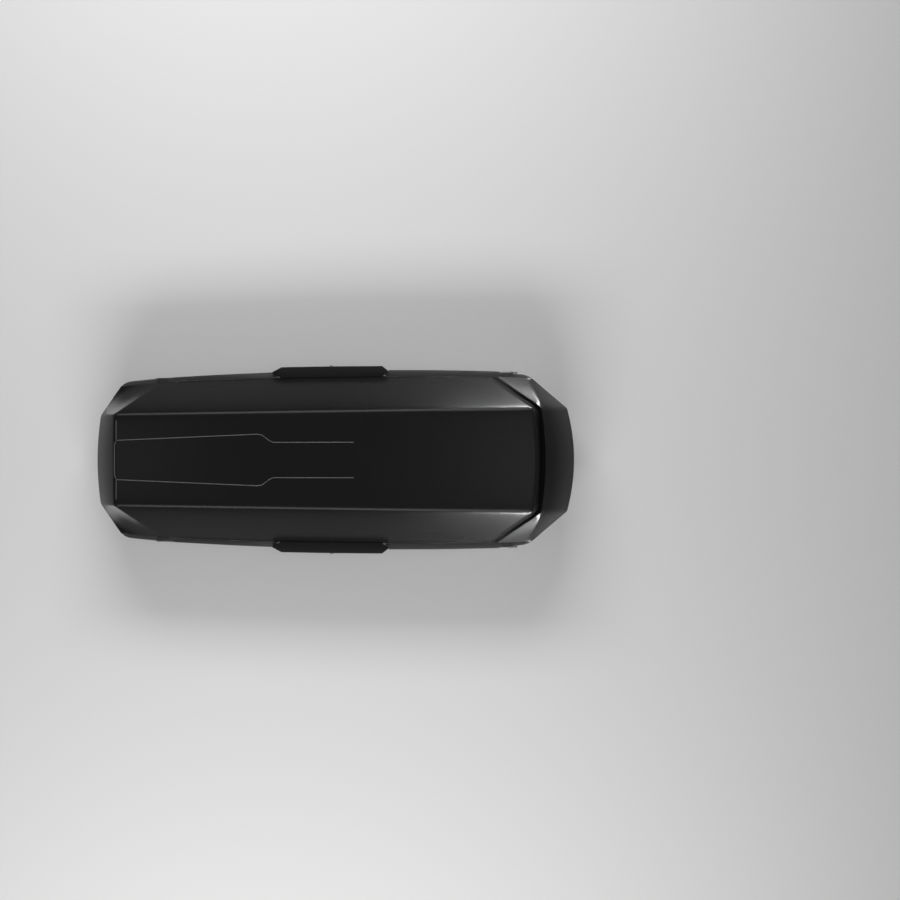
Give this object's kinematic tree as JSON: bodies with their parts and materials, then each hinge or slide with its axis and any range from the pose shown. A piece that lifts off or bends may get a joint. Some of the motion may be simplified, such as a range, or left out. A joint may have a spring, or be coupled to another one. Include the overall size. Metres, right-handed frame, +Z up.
{
  "type": "roof cargo box",
  "caption": "Long black roof cargo box with a faceted gloss lid that opens from either side, side grips with locks, and sliding clamps under the floor.",
  "frame": {"origin": "middle of the box's plan, at the underside of the closed clamp jaws", "axes": "+X towards the nose, +Y to the left side, +Z up"},
  "size_m": [2.3, 0.9096, 0.4694],
  "materials": {
    "lid_gloss": "gloss black",
    "base_satin": "satin grained black",
    "grip_matte": "matte black",
    "black_rubber": "matte",
    "spring_steel": "bright",
    "zinc_steel": "zinc plated",
    "coated_steel": "black powder coat",
    "lid_bow_alloy": "mill finish",
    "clamp_nylon": "satin"
  },
  "bodies": {
    "base": {"base_shell": "base_satin", "floor_panel": "base_satin", "left_floor_rail": "coated_steel", "right_floor_rail": "coated_steel", "front_left_sill": "base_satin", "rear_left_sill": "base_satin", "front_right_sill": "base_satin", "rear_right_sill": "base_satin", "front_left_crossbar_pad": "black_rubber", "front_left_hinge_bracket": "zinc_steel", "front_left_hinge_pin": "zinc_steel", "front_left_hinge_spring": "spring_steel", "rear_left_crossbar_pad": "black_rubber", "rear_left_hinge_bracket": "zinc_steel", "rear_left_hinge_pin": "zinc_steel", "rear_left_hinge_spring": "spring_steel", "front_right_crossbar_pad": "black_rubber", "front_right_hinge_bracket": "zinc_steel", "front_right_hinge_pin": "zinc_steel", "front_right_hinge_spring": "spring_steel", "rear_right_crossbar_pad": "black_rubber", "rear_right_hinge_bracket": "zinc_steel", "rear_right_hinge_pin": "zinc_steel", "rear_right_hinge_spring": "spring_steel"},
    "left_hinges": {"front_left_hinge_leaf": "zinc_steel", "rear_left_hinge_leaf": "zinc_steel"},
    "right_hinges": {"front_right_hinge_leaf": "zinc_steel", "rear_right_hinge_leaf": "zinc_steel"},
    "lid": {"lid_shell": "lid_gloss", "lid_seal": "black_rubber", "left_grip": "grip_matte", "right_grip": "grip_matte", "left_lock_channel": "coated_steel", "right_lock_channel": "coated_steel", "front_lid_bow": "lid_bow_alloy", "rear_lid_bow": "lid_bow_alloy"},
    "left_lock_bar": {"left_lock_bar": "zinc_steel"},
    "left_lock_barrel": {"left_lock_barrel": "zinc_steel"},
    "right_lock_bar": {"right_lock_bar": "zinc_steel"},
    "right_lock_barrel": {"right_lock_barrel": "zinc_steel"},
    "front_left_clamp": {"front_left_clamp_housing": "clamp_nylon"},
    "front_left_knob": {"front_left_clamp_knob": "grip_matte"},
    "front_left_front_jaw": {"front_left_clamp_front_jaw": "coated_steel"},
    "front_left_rear_jaw": {"front_left_clamp_rear_jaw": "coated_steel"},
    "rear_left_clamp": {"rear_left_clamp_housing": "clamp_nylon"},
    "rear_left_knob": {"rear_left_clamp_knob": "grip_matte"},
    "rear_left_front_jaw": {"rear_left_clamp_front_jaw": "coated_steel"},
    "rear_left_rear_jaw": {"rear_left_clamp_rear_jaw": "coated_steel"},
    "front_right_clamp": {"front_right_clamp_housing": "clamp_nylon"},
    "front_right_knob": {"front_right_clamp_knob": "grip_matte"},
    "front_right_front_jaw": {"front_right_clamp_front_jaw": "coated_steel"},
    "front_right_rear_jaw": {"front_right_clamp_rear_jaw": "coated_steel"},
    "rear_right_clamp": {"rear_right_clamp_housing": "clamp_nylon"},
    "rear_right_knob": {"rear_right_clamp_knob": "grip_matte"},
    "rear_right_front_jaw": {"rear_right_clamp_front_jaw": "coated_steel"},
    "rear_right_rear_jaw": {"rear_right_clamp_rear_jaw": "coated_steel"}
  },
  "joints": [
    {"name": "lid_on_left_hinge", "type": "hinge", "parent": "base", "child": "left_hinges", "pos_m": [0, 0.40487, 0.2214], "axis": [-0.9998, -0.018, 0], "range_deg": [0, 55], "stiffness_Nm_per_rad": 10, "springref_deg": 143.24},
    {"name": "lid_on_right_hinge", "type": "hinge", "parent": "left_hinges", "child": "lid", "pos_m": [0, -0.40487, 0.2214], "axis": [-0.9998, 0.018, 0], "range_deg": [-55, 0], "stiffness_Nm_per_rad": 10, "springref_deg": -143.24},
    {"name": "right_hinge_leaves", "type": "hinge", "parent": "base", "child": "right_hinges", "pos_m": [0, -0.40487, 0.2214], "axis": [-0.9998, 0.018, 0], "range_deg": [-55.1, 0.1]},
    {"name": "left_lock_bar_slide", "type": "slide", "parent": "lid", "child": "left_lock_bar", "axis": [0.9998, 0.018, 0], "range_m": [0, 0.012]},
    {"name": "left_lock_turn", "type": "hinge", "parent": "lid", "child": "left_lock_barrel", "pos_m": [-0.02, 0.40452, 0.2394], "axis": [-0.018, 0.9998, 0], "range_deg": [0, 90]},
    {"name": "right_lock_bar_slide", "type": "slide", "parent": "lid", "child": "right_lock_bar", "axis": [0.9998, -0.018, 0], "range_m": [0, 0.012]},
    {"name": "right_lock_turn", "type": "hinge", "parent": "lid", "child": "right_lock_barrel", "pos_m": [-0.02, -0.40452, 0.2394], "axis": [0.018, 0.9998, 0], "range_deg": [0, 90]},
    {"name": "front_left_clamp_slide", "type": "slide", "parent": "base", "child": "front_left_clamp", "axis": [1, 0, 0], "range_m": [-0.1, 0.1]},
    {"name": "front_left_knob_turn", "type": "hinge", "parent": "front_left_clamp", "child": "front_left_knob", "pos_m": [0.314, 0.24, 0.14], "axis": [0, 0, 1], "range_deg": [0, 720]},
    {"name": "front_left_front_jaw_swing", "type": "hinge", "parent": "front_left_clamp", "child": "front_left_front_jaw", "pos_m": [0.358, 0.24, 0.098], "axis": [0, -1, 0], "range_deg": [0, 22]},
    {"name": "front_left_rear_jaw_swing", "type": "hinge", "parent": "front_left_clamp", "child": "front_left_rear_jaw", "pos_m": [0.27, 0.24, 0.098], "axis": [0, 1, 0], "range_deg": [0, 22]},
    {"name": "rear_left_clamp_slide", "type": "slide", "parent": "base", "child": "rear_left_clamp", "axis": [1, 0, 0], "range_m": [-0.1, 0.1]},
    {"name": "rear_left_knob_turn", "type": "hinge", "parent": "rear_left_clamp", "child": "rear_left_knob", "pos_m": [-0.364, 0.24, 0.14], "axis": [0, 0, 1], "range_deg": [0, 720]},
    {"name": "rear_left_front_jaw_swing", "type": "hinge", "parent": "rear_left_clamp", "child": "rear_left_front_jaw", "pos_m": [-0.32, 0.24, 0.098], "axis": [0, -1, 0], "range_deg": [0, 22]},
    {"name": "rear_left_rear_jaw_swing", "type": "hinge", "parent": "rear_left_clamp", "child": "rear_left_rear_jaw", "pos_m": [-0.408, 0.24, 0.098], "axis": [0, 1, 0], "range_deg": [0, 22]},
    {"name": "front_right_clamp_slide", "type": "slide", "parent": "base", "child": "front_right_clamp", "axis": [1, 0, 0], "range_m": [-0.1, 0.1]},
    {"name": "front_right_knob_turn", "type": "hinge", "parent": "front_right_clamp", "child": "front_right_knob", "pos_m": [0.314, -0.24, 0.14], "axis": [0, 0, 1], "range_deg": [0, 720]},
    {"name": "front_right_front_jaw_swing", "type": "hinge", "parent": "front_right_clamp", "child": "front_right_front_jaw", "pos_m": [0.358, -0.24, 0.098], "axis": [0, -1, 0], "range_deg": [0, 22]},
    {"name": "front_right_rear_jaw_swing", "type": "hinge", "parent": "front_right_clamp", "child": "front_right_rear_jaw", "pos_m": [0.27, -0.24, 0.098], "axis": [0, 1, 0], "range_deg": [0, 22]},
    {"name": "rear_right_clamp_slide", "type": "slide", "parent": "base", "child": "rear_right_clamp", "axis": [1, 0, 0], "range_m": [-0.1, 0.1]},
    {"name": "rear_right_knob_turn", "type": "hinge", "parent": "rear_right_clamp", "child": "rear_right_knob", "pos_m": [-0.364, -0.24, 0.14], "axis": [0, 0, 1], "range_deg": [0, 720]},
    {"name": "rear_right_front_jaw_swing", "type": "hinge", "parent": "rear_right_clamp", "child": "rear_right_front_jaw", "pos_m": [-0.32, -0.24, 0.098], "axis": [0, -1, 0], "range_deg": [0, 22]},
    {"name": "rear_right_rear_jaw_swing", "type": "hinge", "parent": "rear_right_clamp", "child": "rear_right_rear_jaw", "pos_m": [-0.408, -0.24, 0.098], "axis": [0, 1, 0], "range_deg": [0, 22]}
  ],
  "couplings": [
    {"joint": "right_hinge_leaves", "follows": "lid_on_right_hinge", "ratio": 1},
    {"joint": "left_lock_turn", "follows": "left_lock_bar_slide", "rad_per_m": 130.8},
    {"joint": "right_lock_turn", "follows": "right_lock_bar_slide", "rad_per_m": 130.8},
    {"joint": "front_left_front_jaw_swing", "follows": "front_left_knob_turn", "ratio": 0.0305},
    {"joint": "front_left_rear_jaw_swing", "follows": "front_left_knob_turn", "ratio": 0.0305},
    {"joint": "rear_left_front_jaw_swing", "follows": "rear_left_knob_turn", "ratio": 0.0305},
    {"joint": "rear_left_rear_jaw_swing", "follows": "rear_left_knob_turn", "ratio": 0.0305},
    {"joint": "front_right_front_jaw_swing", "follows": "front_right_knob_turn", "ratio": 0.0305},
    {"joint": "front_right_rear_jaw_swing", "follows": "front_right_knob_turn", "ratio": 0.0305},
    {"joint": "rear_right_front_jaw_swing", "follows": "rear_right_knob_turn", "ratio": 0.0305},
    {"joint": "rear_right_rear_jaw_swing", "follows": "rear_right_knob_turn", "ratio": 0.0305}
  ]
}
